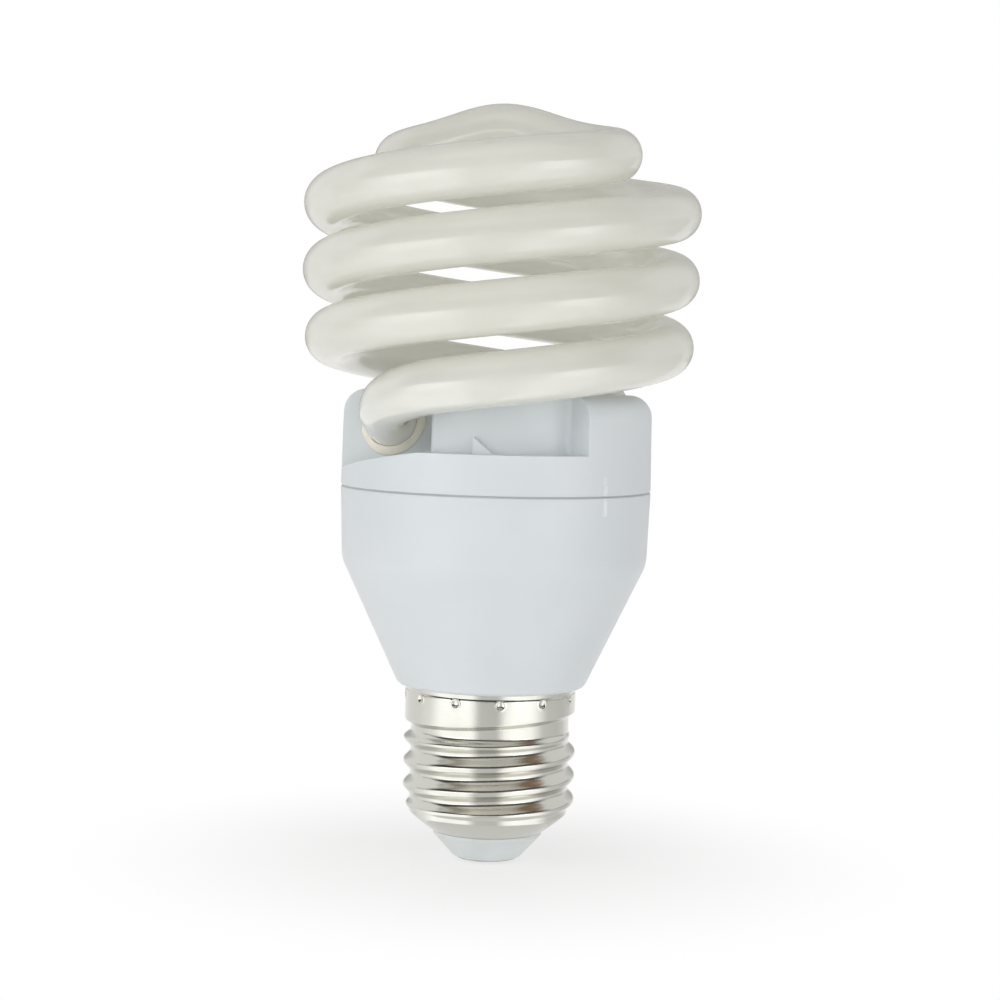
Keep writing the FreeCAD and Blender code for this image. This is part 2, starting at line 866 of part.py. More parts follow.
def electrode_leads():
    """Wires from the tube's sealed ends, each wound on its pin."""
    inner = pin_width / 2 * math.sqrt(2) + wrap_clearance
    wrap_foot = board_top + pin_height - wrap_below_tip - wrap_height
    middle = wrap_foot + wrap_height / 2
    wires = []
    for sign, place in zip((1, -1), pin_places()):
        start = tube_end + tail_side * (sign * wire_spread)
        corner = start + tail_heading * wire_run
        axis_point = V(place.x, place.y, middle)
        towards = (corner - axis_point)
        towards.z = 0
        end = axis_point + towards.normalize() * (inner + wrap_wall / 2)
        wrap = Part.makeCylinder(inner + wrap_wall, wrap_height, V(place.x, place.y, wrap_foot))
        bore = Part.makeCylinder(inner, 3 * wrap_height, V(place.x, place.y, wrap_foot - wrap_height))
        wrap = wrap.cut(bore)
        wires.append(fused([bent_wire([start, corner, end], wire_radius, wire_bend), wrap]).Solids[0])
    return Part.makeCompound(wires + [spun(wire, 180) for wire in wires])


def shell_lead():
    """Supply wire from the board to the side of the cap."""
    height = thread_top_height
    wall = thread_root_diameter / 2 - cap_sheet - wire_end_gap
    reach = math.sqrt(wall ** 2 - shell_lead_y ** 2) - supply_wire_radius / 4
    return bent_wire(
        [V(supply_lead_x, shell_lead_y, board_top + lead_stub), V(supply_lead_x, shell_lead_y, height),
         V(-reach, shell_lead_y, height)],
        supply_wire_radius, supply_wire_bend)


def contact_lead():
    """Supply wire from the board to the stem of the centre contact."""
    stem_top = contact_stem_top
    bend_height = stem_top + 3 * supply_wire_bend
    return bent_wire(
        [V(supply_lead_x, contact_lead_y, board_top + lead_stub),
         V(supply_lead_x, contact_lead_y, bend_height),
         V(0, 0, stem_top + supply_wire_bend),
         V(0, 0, stem_top)],
        supply_wire_radius, supply_wire_bend)


def electrolytic_capacitor():
    """Can with a rolled groove near its sealed end."""
    foot = board_bottom - electrolytic_length
    groove = board_bottom - electrolytic_groove_below
    can = turned([
        (0, foot), (electrolytic_radius, foot, electrolytic_round),
        (electrolytic_radius, groove - 2 * electrolytic_groove),
        (electrolytic_radius - electrolytic_groove, groove - electrolytic_groove),
        (electrolytic_radius - electrolytic_groove, groove),
        (electrolytic_radius, groove + electrolytic_groove),
        (electrolytic_radius, board_bottom, electrolytic_round), (0, board_bottom),
    ])
    can = moved(can, V(toroid_x, electrolytic_y, 0))
    return fused([can] + leads(electrolytic_leads(), board_bottom))


choke_core_top = board_bottom - choke_base - choke_fit
choke_middle = choke_core_top - choke_half_height


def choke_core():
    """Two E-shaped ferrite halves, face to face."""
    half_width = choke_core_width / 2
    half_depth = choke_core_depth / 2
    window = choke_window_width / 2
    leg = choke_centre_leg / 2
    half = block((-half_depth, -half_width, 0), (half_depth, half_width, choke_half_height))
    for low, high in ((leg, window), (-window, -leg)):
        half = half.cut(block((-choke_core_depth, low, 0), (choke_core_depth, high, choke_window_half)))
    lower = half.copy()
    lower.rotate(CENTRE, V(0, 1, 0), 180)
    place = V(choke_x, 0, choke_middle)
    return Part.makeCompound([moved(half, place), moved(lower, place)])


choke_tube_x = choke_core_depth / 2 + choke_fit + choke_bobbin_wall
choke_tube_y = choke_centre_leg / 2 + choke_fit + choke_bobbin_wall


def choke_bobbin():
    """Moulded coil former: a square tube, two flanges, and a base with cheeks beside the core."""
    reach = choke_window_half - choke_fit
    flange_x = choke_flange_depth / 2
    flange_y = choke_window_width / 2 - choke_fit
    hole_x = choke_tube_x - choke_bobbin_wall
    hole_y = choke_tube_y - choke_bobbin_wall
    base_foot = choke_half_height + choke_fit
    pieces = [block((-choke_tube_x, -choke_tube_y, -reach), (choke_tube_x, choke_tube_y, reach))]
    for low in (-reach, reach - choke_flange):
        pieces.append(block((-flange_x, -flange_y, low), (flange_x, flange_y, low + choke_flange)))
    for low, high in ((-flange_x, -hole_x), (hole_x, flange_x)):
        pieces.append(block((low, -flange_y, reach - choke_flange), (high, flange_y, base_foot)))
    pieces.append(block((-flange_x, -flange_y, base_foot), (flange_x, flange_y, base_foot + choke_base)))
    former = fused(pieces)
    former = former.cut(block((-hole_x, -hole_y, -2 * reach), (hole_x, hole_y, base_foot)))
    former = moved(former, V(choke_x, 0, choke_middle))
    return fused([former] + leads(bobbin_pins(), board_bottom))


def choke_winding():
    """Wire wound on the former, taken as one sleeve with rounded corners."""
    reach = choke_window_half - 2 * choke_fit - choke_flange
    outer_x = choke_flange_depth / 2 - choke_winding_margin
    outer_y = choke_window_width / 2 - choke_winding_margin
    sleeve = block((-outer_x, -outer_y, -reach), (outer_x, outer_y, reach))
    upright = [edge for edge in sleeve.Edges if abs(edge.tangentAt(edge.FirstParameter).z) > 0.9]
    sleeve = sleeve.makeFillet(outer_x - choke_tube_x, upright)
    bore_x = choke_tube_x + choke_fit / 2
    bore_y = choke_tube_y + choke_fit / 2
    sleeve = sleeve.cut(block((-bore_x, -bore_y, -2 * reach), (bore_x, bore_y, 2 * reach)))
    return moved(sleeve, V(choke_x, 0, choke_middle))


toroid_top = board_bottom - toroid_winding - toroid_fit


def feedback_toroid():
    foot = toroid_top - toroid_height
    ring = turned([
        (toroid_inner_radius, foot, toroid_round), (toroid_outer_radius, foot, toroid_round),
        (toroid_outer_radius, toroid_top, toroid_round), (toroid_inner_radius, toroid_top, toroid_round),
    ])
    return moved(ring, V(toroid_x, toroid_y, 0))


def toroid_windings():
    """Three short windings round the ring, each taken as a sleeve over part of the turn."""
    inner = (toroid_inner_radius - toroid_fit, toroid_top - toroid_height - toroid_fit)
    outer = (toroid_outer_radius + toroid_fit, toroid_top + toroid_fit)
    thick = toroid_winding
    outside = turned([
        (inner[0] - thick, inner[1] - thick), (outer[0] + thick, inner[1] - thick),
        (outer[0] + thick, outer[1] + thick), (inner[0] - thick, outer[1] + thick),
    ], toroid_winding_sweep)
    inside = turned([
        (inner[0], inner[1]), (outer[0], inner[1]), (outer[0], outer[1]), (inner[0], outer[1]),
    ], toroid_winding_sweep)
    sleeve = outside.cut(inside)
    turns = [360.0 * i / toroid_winding_count for i in range(toroid_winding_count)]
    return moved(Part.makeCompound([spun(sleeve, turn) for turn in turns]), V(toroid_x, toroid_y, 0))


def switching_transistors():
    """Flat power packages with a screw hole, standing on three leads."""
    top = board_bottom - transistor_stand
    bodies = []
    for x, y in transistor_places():
        half_x = transistor_depth / 2
        half_y = transistor_width / 2
        body = block((x - half_x, y - half_y, top - transistor_height), (x + half_x, y + half_y, top))
        hole_start = V(x - transistor_depth, y, top - transistor_height + transistor_hole_inset)
        hole = Part.makeCylinder(transistor_hole_radius, 2 * transistor_depth, hole_start, V(1, 0, 0))
        bodies.append(fused([body.cut(hole)] + leads(transistor_leads(x, y), top)))
    return Part.makeCompound(bodies)


def film_capacitor(place):
    """Dipped film capacitor with rounded edges."""
    x, y = place
    body = block(
        (x - film_length / 2, y - film_depth / 2, board_bottom - film_height),
        (x + film_length / 2, y + film_depth / 2, board_bottom),
    )
    lower = [edge for edge in body.Edges if edge.CenterOfMass.z < board_bottom - edge_tolerance]
    body = body.makeFillet(film_round, lower)
    return fused([body] + leads(film_leads(x, y), board_bottom))


def axial_part(angle, body, foot):
    """Upright axial part: its own lead goes up, and the far one bends over and runs back beside it."""
    place = at(edge_part_radius, angle, 0)
    beside = at(edge_part_radius + axial_lead_offset, angle, 0)
    start = place + UP * (foot + lead_radius)
    low = UP * (foot - axial_lead_drop)
    end = beside + UP * (board_top + lead_stub)
    far_lead = bent_wire([start, place + low, beside + low, end], lead_radius, axial_lead_bend)
    top = foot + body.BoundBox.ZLength
    return fused([moved(body, V(place.x, place.y, foot)), far_lead] + leads([place], top))


def rectifier_diodes():
    foot = board_bottom - diode_stand - diode_length
    body = turned([
        (0, 0), (diode_radius, 0, diode_round), (diode_radius, diode_length, diode_round), (0, diode_length),
    ])
    return Part.makeCompound([axial_part(angle, body, foot) for angle in diode_angles])


def start_resistors():
    foot = board_bottom - diode_stand - resistor_length
    cap = resistor_length / 4
    waist = resistor_radius - resistor_waist
    body = turned([
        (0, 0), (resistor_radius, 0, resistor_round), (resistor_radius, cap), (waist, cap + resistor_taper),
        (waist, resistor_length - cap - resistor_taper), (resistor_radius, resistor_length - cap),
        (resistor_radius, resistor_length, resistor_round), (0, resistor_length),
    ])
    return Part.makeCompound([axial_part(angle, body, foot) for angle in resistor_angles])


def filter_choke_core():
    """Ferrite drum with two flanges and two leads."""
    foot = board_bottom - filter_core_height
    drum = turned([
        (0, foot), (filter_core_radius, foot), (filter_core_radius, foot + filter_flange),
        (filter_waist_radius, foot + filter_flange), (filter_waist_radius, board_bottom - filter_flange),
        (filter_core_radius, board_bottom - filter_flange), (filter_core_radius, board_bottom),
        (0, board_bottom),
    ])
    return fused([moved(drum, V(filter_x, 0, 0))] + leads(filter_leads(), board_bottom))


def filter_choke_winding():
    foot = board_bottom - filter_core_height + filter_flange + filter_fit
    top = board_bottom - filter_flange - filter_fit
    outer = filter_core_radius - filter_winding_margin
    inner = filter_waist_radius + filter_fit
    sleeve = turned([
        (inner, foot), (outer, foot, filter_winding_margin),
        (outer, top, filter_winding_margin), (inner, top),
    ])
    return moved(sleeve, V(filter_x, 0, 0))


nodes = {
    "spiral_tube": spiral_tube(),
    "tube_cement": tube_cement(),
    "top_cover": top_cover(),
    "lower_housing": lower_housing(),
    "screw_shell": screw_shell(),
    "cap_insulator": cap_insulator(),
    "centre_contact": centre_contact(),
    "circuit_board": circuit_board(),
    "wrap_pins": wrap_pins(),
    "electrode_leads": electrode_leads(),
    "shell_lead": shell_lead(),
    "contact_lead": contact_lead(),
    "electrolytic_capacitor": electrolytic_capacitor(),
    "choke_core": choke_core(),
    "choke_bobbin": choke_bobbin(),
    "choke_winding": choke_winding(),
    "feedback_toroid": feedback_toroid(),
    "toroid_windings": toroid_windings(),
    "switching_transistors": switching_transistors(),
    "resonant_capacitor": film_capacitor(film_places()[0]),
    "coupling_capacitor": film_capacitor(film_places()[1]),
    "rectifier_diodes": rectifier_diodes(),
    "start_resistors": start_resistors(),
    "filter_choke_core": filter_choke_core(),
    "filter_choke_winding": filter_choke_winding(),
}

os.makedirs("parts", exist_ok=True)
for name, shape in nodes.items():
    shape.exportStep("parts/" + name + ".step")
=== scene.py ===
import json
import math

import bmesh
import bpy
import numpy as np
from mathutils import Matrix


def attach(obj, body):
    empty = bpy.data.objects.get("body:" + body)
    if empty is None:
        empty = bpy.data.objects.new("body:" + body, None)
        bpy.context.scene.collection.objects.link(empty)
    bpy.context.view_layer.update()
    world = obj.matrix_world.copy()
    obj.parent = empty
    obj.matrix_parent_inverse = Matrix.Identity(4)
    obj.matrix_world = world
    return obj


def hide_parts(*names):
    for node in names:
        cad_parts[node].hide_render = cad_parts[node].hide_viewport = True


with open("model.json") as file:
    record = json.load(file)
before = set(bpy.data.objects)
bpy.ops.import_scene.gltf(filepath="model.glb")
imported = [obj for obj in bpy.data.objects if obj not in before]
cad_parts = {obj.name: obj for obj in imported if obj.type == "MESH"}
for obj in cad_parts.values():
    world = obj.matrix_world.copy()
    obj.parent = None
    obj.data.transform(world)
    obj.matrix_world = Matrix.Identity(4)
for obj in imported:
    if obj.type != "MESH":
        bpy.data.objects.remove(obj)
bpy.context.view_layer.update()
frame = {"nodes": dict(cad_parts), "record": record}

# Looks of the spiral energy saving lamp. Sizes are millimetres, as in the part's source; meshes are metres.
# The origin is the tip of the centre contact, +Z runs up the lamp's axis, and -Y is the front.
MM = 0.001
# Points of a mesh that lie closer than this are one
JOIN = 0.002

# Screw cap
CAP_LENGTH = 27.0
CREST_RADIUS = 13.2
ROOT_RADIUS = 12.1
THREAD_PITCH = 3.63
THREAD_TOP = 20.3
THREAD_BOTTOM = 7.5
THREAD_FADE = 1.6
THREAD_TURN = 118.0
COLLAR_RADIUS = 13.05
COLLAR_EDGE = 22.55
COLLAR_LEAN = 0.85
COLLAR_GROOVE = 1.0
RIM_GROOVE = 0.09
RIM_GROOVE_BELOW = 0.6
RIM_GROOVE_HEIGHT = 0.2
CAP_SHEET = 0.35
LIP_RADIUS = 8.4
LIP_HEIGHT = 4.5
CONE_BULGE = 1.2
CRIMP_COUNT = 12
CRIMP_TURN = 6.7
CRIMP_BELOW_RIM = 1.45
CRIMP_RADIUS = 0.5
CRIMP_DEPTH = 0.22
CRIMP_LIP = 0.07
CRIMP_LIP_AWAY = 1.35
CRIMP_LIP_WIDTH = 0.3
CRIMP_BAND = 2.2
CRIMP_SPAN = 4.5
CONTACT_RADIUS = 4.6
CONTACT_CROWN = 0.3
CONTACT_RIM = 0.5
CONTACT_STEM = 1.1
CONTACT_STEM_TOP = 8.4
CONTACT_RING = 0.1
CONTACT_RING_RADIUS = 1.5
CONTACT_RING_WIDTH = 0.25
INSULATOR_FOOT = 5.2
INSULATOR_FOOT_HEIGHT = 0.6
INSULATOR_TOP = 6.45
INSULATOR_FLARE = 0.96
FIT = 0.05

# Cover and tube
HOUSING_RADIUS = 23.6
SEAM_HEIGHT = 57.2
# Alignment strokes across the seam, a real mark painted brighter as a highlight: azimuth in degrees, then
# half width, reach and blur in millimetres
INDEX_ANGLE = 312.7
INDEX_HALF = 0.34
INDEX_REACH = 2.9
INDEX_BLUR = 0.1
COVER_TOP = 71.8
COVER_EDGE_ROUND = 0.3
# Painted shade along the seam of cover and housing, standing in for its dark gap: full within the first half
# width in millimetres, gone by the second
SEAM_SHADE = 0.1
SEAM_SHADE_END = 0.18
LEDGE_HEIGHT = 63.2
POCKET_END = 124.8
POCKET_END_ROUND = 1.6
POCKET_INSIDE = 19.5
TUBE_RADIUS = 3.99
HOLE_RADIUS = 4.35
HOLE_BRIDGE = 0.35
COIL_RADIUS = 26.1
COIL_START_RADIUS = 24.1
COIL_START = 258.0
COIL_WIDENING = 220.0
COIL_PITCH = 20.4
COIL_FRONT_HEIGHT = 74.2
CROWN_START = 681.0
CROWN_END = 889.2
CROWN_POWER = 7.0
CROWN_SINK = 0.77
CROWN_HUMP = 2.88
CROWN_HUMP_REACH = 8.64
TAIL_RADIUS = 15.6
TAIL_TURN = math.radians(93.0)
TAIL_STRAIGHT = 10.0
TAIL_END_HEIGHT = COVER_TOP - HOLE_BRIDGE - HOLE_RADIUS
WALL_PAST_BEND = 1.0
COVER_WALL = 1.3
CEMENT_REACH = 1.3
CEMENT_HEIGHT = 1.15
POWDER_THICK_BELOW = 66.0
POWDER_THIN_ABOVE = 78.0


def linear(code):
    """sRGB hex colour as linear red, green, blue and alpha."""
    srgb = np.array([int(code[i:i + 2], 16) for i in (1, 3, 5)]) / 255
    high = ((srgb + 0.055) / 1.055) ** 2.4
    return (*np.where(srgb <= 0.04045, srgb / 12.92, high).tolist(), 1.0)


def add(tree, kind, inputs={}, **settings):
    """Adds a node: settings are its properties, and inputs gives sockets values or other nodes' outputs."""
    node = tree.nodes.new("ShaderNode" + kind)
    for name, value in settings.items():
        setattr(node, name, value)
    for name, value in inputs.items():
        if isinstance(value, bpy.types.NodeSocket):
            tree.links.new(value, node.inputs[name])
        else:
            node.inputs[name].default_value = value
    return node


def new_material(name, **sockets):
    """Node material with a Principled shader on its output; sockets sets the shader's plain values."""
    made = bpy.data.materials.new(name)
    made.use_nodes = True
    tree = made.node_tree
    tree.nodes.clear()
    shader = add(tree, "BsdfPrincipled", {key.replace("_", " "): value for key, value in sockets.items()})
    add(tree, "OutputMaterial", {"Surface": shader.outputs["BSDF"]})
    return made, tree, shader


def per_metre(size):
    """Scale that makes a pattern's features about this many millimetres wide on Object coordinates."""
    return 1.0 / (size * MM)


def clouds(tree, place, size, shade, base):
    """Two close colours of one substance that run into each other in clouds of a size in millimetres."""
    noise = add(tree, "TexNoise", {"Vector": place, "Scale": per_metre(size), "Detail": 3.0})
    ramp = add(tree, "ValToRGB", {"Fac": noise.outputs["Fac"]})
    for stop, position, code in zip(ramp.color_ramp.elements, (0.35, 0.65), (shade, base)):
        stop.position = position
        stop.color = linear(code)
    return ramp.outputs["Color"]


def coated_glass():
    """Soda-lime glass tube, drawn and bent hot, with white powder on its inner wall.

    The eye sees a warm milky wall that passes part of the light into and through the hollow tube, under a
    clear skin: long sharp highlights that waver a little, and faint clouds where the powder is thinner. The
    powder is thick near the ends, which pass little light.
    """
    made, tree, shader = new_material("glass_drawn_powder_coated", Roughness=0.06, IOR=1.52, Coat_Weight=1.0,
                                      Coat_Roughness=0.03, Coat_IOR=1.6)
    place = add(tree, "TexCoord").outputs["Object"]
    body = clouds(tree, place, 9.0, "#f0f0e9", "#f4f4ee")
    draw = add(tree, "TexNoise", {"Vector": place, "Scale": per_metre(14.0), "Detail": 1.0})
    waver = add(tree, "Bump", {"Height": draw.outputs["Fac"], "Strength": 0.1, "Distance": 0.4 * MM})
    tree.links.new(body, shader.inputs["Base Color"])
    tree.links.new(waver.outputs["Normal"], shader.inputs["Normal"])
    passed = add(tree, "BsdfTranslucent", {"Color": linear("#fbfaf4")})
    height = add(tree, "SeparateXYZ", {0: place}).outputs["Z"]
    thin = add(tree, "MapRange", {0: height, 1: POWDER_THICK_BELOW * MM, 2: POWDER_THIN_ABOVE * MM,
                                  3: 0.05, 4: 0.35})
    wall = add(tree, "MixShader", {0: thin.outputs[0], 1: shader.outputs[0], 2: passed.outputs[0]})
    tree.links.new(wall.outputs[0], tree.nodes["Material Output"].inputs["Surface"])
    return made


def moulded_plastic():
    """Polyester, injection moulded in an eroded mould: a cool white with a soft sheen that passes some light.

    The eye sees a fine grain that spreads the highlights, faint flow clouds, a few dark specks, a painted
    shade line along the seam of the two halves where its gap falls dark, and alignment strokes across the
    seam with a painted highlight. The grain is drawn 0.35 mm wide, coarser than the real one, so that it
    shows.
    """
    made, tree, shader = new_material("polyester_satin_moulded", Roughness=0.42, IOR=1.54,
                                      Subsurface_Weight=0.2)
    shader.inputs["Subsurface Radius"].default_value = (1.0, 1.0, 1.0)
    shader.inputs["Subsurface Scale"].default_value = 1.5 * MM
    place = add(tree, "TexCoord").outputs["Object"]
    body = clouds(tree, place, 12.0, "#d9dfe2", "#dce1e4")
    dots = add(tree, "TexVoronoi", {"Vector": place, "Scale": per_metre(9.0)})
    dot = add(tree, "MapRange", {0: dots.outputs["Distance"], 1: 0.012, 2: 0.028, 3: 0.4, 4: 0.0})
    speck = add(tree, "Mix", {0: dot.outputs[0], 6: body, 7: linear("#7f8486")}, data_type="RGBA").outputs[2]
    height = add(tree, "SeparateXYZ", {0: place}).outputs["Z"]
    above = add(tree, "Math", {0: height, 1: SEAM_HEIGHT * MM}, operation="SUBTRACT").outputs[0]
    apart = add(tree, "Math", {0: above}, operation="ABSOLUTE").outputs[0]
    # Painted shade: the seam line is drawn darker, as its narrow gap falls into shade
    seam_shade = add(tree, "MapRange", {0: apart, 1: SEAM_SHADE * MM, 2: SEAM_SHADE_END * MM, 3: 0.85, 4: 0.0})
    seam = add(tree, "Mix", {0: seam_shade.outputs[0], 6: speck, 7: linear("#bcc0c2")}, data_type="RGBA").outputs[2]
    grain = add(tree, "TexNoise", {"Vector": place, "Scale": per_metre(0.35), "Detail": 2.0})
    skin = add(tree, "Bump", {"Height": grain.outputs["Fac"], "Strength": 0.12, "Distance": 0.02 * MM})
    # Alignment strokes across the seam: the mark is real, and its brightness is a painted highlight
    aim = math.radians(INDEX_ANGLE)
    sideways = (-math.sin(aim), math.cos(aim), 0)
    outwards = (math.cos(aim), math.sin(aim), 0)
    aside = add(tree, "VectorMath", {0: place, 1: sideways}, operation="DOT_PRODUCT").outputs["Value"]
    aside = add(tree, "Math", {0: aside}, operation="ABSOLUTE").outputs[0]
    ahead = add(tree, "VectorMath", {0: place, 1: outwards}, operation="DOT_PRODUCT").outputs["Value"]
    proud = add(tree, "MapRange", {0: ahead, 1: (HOUSING_RADIUS - 0.1) * MM,
                                   2: (HOUSING_RADIUS + 0.05) * MM, 3: 0.0, 4: 1.0})
    across = add(tree, "MapRange", {0: aside, 1: INDEX_HALF * MM, 2: (INDEX_HALF + INDEX_BLUR) * MM,
                                    3: 1.0, 4: 0.0})
    along = add(tree, "MapRange", {0: apart, 1: INDEX_REACH * MM, 2: (INDEX_REACH + INDEX_BLUR) * MM,
                                   3: 1.0, 4: 0.0})
    band = add(tree, "Math", {0: proud.outputs[0], 1: across.outputs[0]}, operation="MULTIPLY")
    index_highlight = add(tree, "Math", {0: band.outputs[0], 1: along.outputs[0]}, operation="MULTIPLY")
    # Painted highlight: the alignment strokes take this brighter colour
    marked = add(tree, "Mix", {0: index_highlight.outputs[0], 6: seam, 7: linear("#eaeef0")}, data_type="RGBA")
    tree.links.new(marked.outputs[2], shader.inputs["Base Color"])
    tree.links.new(skin.outputs["Normal"], shader.inputs["Normal"])
    return made


def nickel_plate():
    """Brass sheet, deep drawn and thread rolled, then nickel plated.

    The eye sees a bright, slightly yellow mirror, dulled in patches by handling and by fine scuffs.
    """
    made, tree, shader = new_material("brass_rolled_nickel_plated", Metallic=1.0)
    shader.inputs["Base Color"].default_value = linear("#cbcac3")
    place = add(tree, "TexCoord").outputs["Object"]
    handling = add(tree, "TexNoise", {"Vector": place, "Scale": per_metre(4.0), "Detail": 4.0})
    dull = add(tree, "MapRange", {0: handling.outputs["Fac"], 1: 0.3, 2: 0.7, 3: 0.08, 4: 0.16}).outputs[0]
    grit = add(tree, "TexNoise", {"Vector": place, "Scale": per_metre(0.18), "Detail": 2.0})
    scuff = add(tree, "Bump", {"Height": grit.outputs["Fac"], "Strength": 0.7, "Distance": 0.012 * MM})
    tree.links.new(dull, shader.inputs["Roughness"])
    tree.links.new(scuff.outputs["Normal"], shader.inputs["Normal"])
    return made


def plain_finish(name, shade, base, cloud, grain, relief, **sockets):
    """Finish of one substance: two close colours in clouds, over a grain.

    Cloud, grain and relief are in millimetres.
    """
    made, tree, shader = new_material(name, **sockets)
    place = add(tree, "TexCoord").outputs["Object"]
    tree.links.new(clouds(tree, place, cloud, shade, base), shader.inputs["Base Color"])
    grains = add(tree, "TexNoise", {"Vector": place, "Scale": per_metre(grain), "Detail": 2.0})
    skin = add(tree, "Bump", {"Height": grains.outputs["Fac"], "Strength": 0.5, "Distance": relief * MM})
    tree.links.new(skin.outputs["Normal"], shader.inputs["Normal"])
    return made


finishes = {
    "coated_glass": coated_glass(),
    "white_plastic": moulded_plastic(),
    "nickel": nickel_plate(),
    # Basing cement, smeared on and fired: chalky and granular
    "cement": plain_finish("cement_fired", "#efe9d8", "#f6f1e4", 1.5, 0.3, 0.1, Roughness=0.8),
    # Opaque glass, pressed into the cap: cool white with a dull skin
    "white_glass": plain_finish("glass_pressed_opal", "#d0d5d6", "#d7dcdd", 5.0, 0.5, 0.02, Roughness=0.35),
    # Tinned brass, stamped: a soft grey mirror
    "tinned_contact": plain_finish("brass_stamped_tinned", "#b9b8b3", "#d2d1cc", 2.0, 0.2,
                                   0.01, Roughness=0.25, Metallic=1.0),
    # Paper laminate, punched: brown with darker fibres
    "board_laminate": plain_finish("paper_laminate_punched", "#8a6a3c", "#a37f4b", 0.8, 0.15,
                                   0.02, Roughness=0.55),
    # Copper wire, drawn and tinned
    "tinned_wire": plain_finish("copper_wire_tinned", "#b4b4b0", "#cfcfcb", 0.5, 0.1,
                                0.01, Roughness=0.3, Metallic=1.0),
    # Soft vinyl, extruded over wire
    "wire_insulation": plain_finish("vinyl_extruded", "#cfcfca", "#dbdbd6", 3.0, 0.2, 0.01, Roughness=0.45),
    # Shrunk vinyl sleeve over an aluminium can
    "black_sleeve": plain_finish("vinyl_sleeve_shrunk", "#16171a", "#1f2125", 4.0, 0.3, 0.01, Roughness=0.3),
    # Ferrite, pressed and sintered: matt dark grey with a fine tooth
    "ferrite": plain_finish("ferrite_sintered", "#2b2b2d", "#363638", 1.0, 0.15, 0.02, Roughness=0.7),
    # Phenolic, moulded coil former
    "former_plastic": plain_finish("phenolic_moulded", "#26221f", "#2f2a26", 3.0, 0.3, 0.01, Roughness=0.5),
    # Copper wire, enamelled and wound
    "enamelled_copper": plain_finish("copper_wire_enamelled", "#8f4a1f", "#b06530", 0.6, 0.25,
                                     0.06, Roughness=0.3, Metallic=0.6),
    # Epoxy, transfer moulded round a chip
    "package_epoxy": plain_finish("epoxy_moulded", "#1a1a1b", "#222223", 2.0, 0.2, 0.015, Roughness=0.6),
    # Epoxy powder, dipped over wound film
    "dipped_film": plain_finish("epoxy_dipped", "#6f2a1b", "#7f3423", 2.5, 0.6, 0.04, Roughness=0.35),
    # Lacquer, sprayed on a ceramic rod
    "resistor_coat": plain_finish("lacquer_sprayed", "#b89f74", "#c8b088", 1.0, 0.3, 0.02, Roughness=0.4),
}


def dressed(name, mesh, node, slot, sharp=35.0):
    """Joins points that fall together, turns faces outwards, smooths, and sets the object in the node's
    place.
    """
    shape = bmesh.new()
    shape.from_mesh(mesh)
    bmesh.ops.remove_doubles(shape, verts=shape.verts, dist=JOIN * MM)
    bmesh.ops.recalc_face_normals(shape, faces=shape.faces)
    shape.to_mesh(mesh)
    shape.free()
    mesh.polygons.foreach_set("use_smooth", np.ones(len(mesh.polygons), bool))
    mesh.set_sharp_from_angle(angle=math.radians(sharp))
    mesh.materials.clear()
    mesh.materials.append(finishes[slot])
    made = bpy.data.objects.new(name, mesh)
    bpy.context.scene.collection.objects.link(made)
    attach(made, "root")
    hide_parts(node)
    return made


def grid_mesh(name, *grids):
    """Mesh of grids of points in millimetres; a grid's columns run right round, and rows join to the next."""
    points = []
    quads = []
    for grid in grids:
        rows, columns = grid.shape[:2]
        row, column = np.meshgrid(np.arange(rows - 1), np.arange(columns), indexing="ij")
        ahead = (column + 1) % columns
        corners = np.stack([row * columns + column, row * columns + ahead,
                            (row + 1) * columns + ahead, (row + 1) * columns + column], -1)
        quads.append(corners.reshape(-1, 4) + sum(map(len, points)))
        points.append(grid.reshape(-1, 3))
    mesh = bpy.data.meshes.new(name)
    mesh.from_pydata((np.concatenate(points) * MM).tolist(), [], np.concatenate(quads).tolist())
    return mesh


def polar(radius, degrees, height):
    """Points at a radius, an azimuth in degrees and a height about the lamp's axis."""
    turn = np.radians(degrees)
    return np.stack(np.broadcast_arrays(radius * np.cos(turn), radius * np.sin(turn), height), -1)


def turned(outline, columns=128):
    """Outline of (radius, height) rows swung once round the axis."""
    azimuth = np.linspace(0, 360, columns, endpoint=False)
    return polar(outline[:, :1], azimuth[None, :], outline[:, 1:])


def rounded(corners, steps=7):
    """Closed outline through (radius, height, round) corners.

    Each round is a parabola from one side to the other whose control point is the corner itself.
    """
    corners = np.array(corners, float)
    here = corners[:, :2]
    size = corners[:, 2:]
    back = np.roll(here, 1, 0) - here
    ahead = np.roll(here, -1, 0) - here
    enter = here + back / np.linalg.norm(back, axis=1, keepdims=True) * size
    leave = here + ahead / np.linalg.norm(ahead, axis=1, keepdims=True) * size
    share = np.linspace(0, 1, steps)[None, :, None]
    ends = enter[:, None] * (1 - share) ** 2 + leave[:, None] * share ** 2
    arcs = ends + 2 * here[:, None] * share * (1 - share)
    return np.concatenate([arcs.reshape(-1, 2), arcs[:1, 0]])


def coil_height(azimuth):
    """Height of a strand, which climbs one pitch a turn and passes the front at 270 degrees."""
    return COIL_FRONT_HEIGHT + COIL_PITCH * (azimuth - 270.0) / 360.0


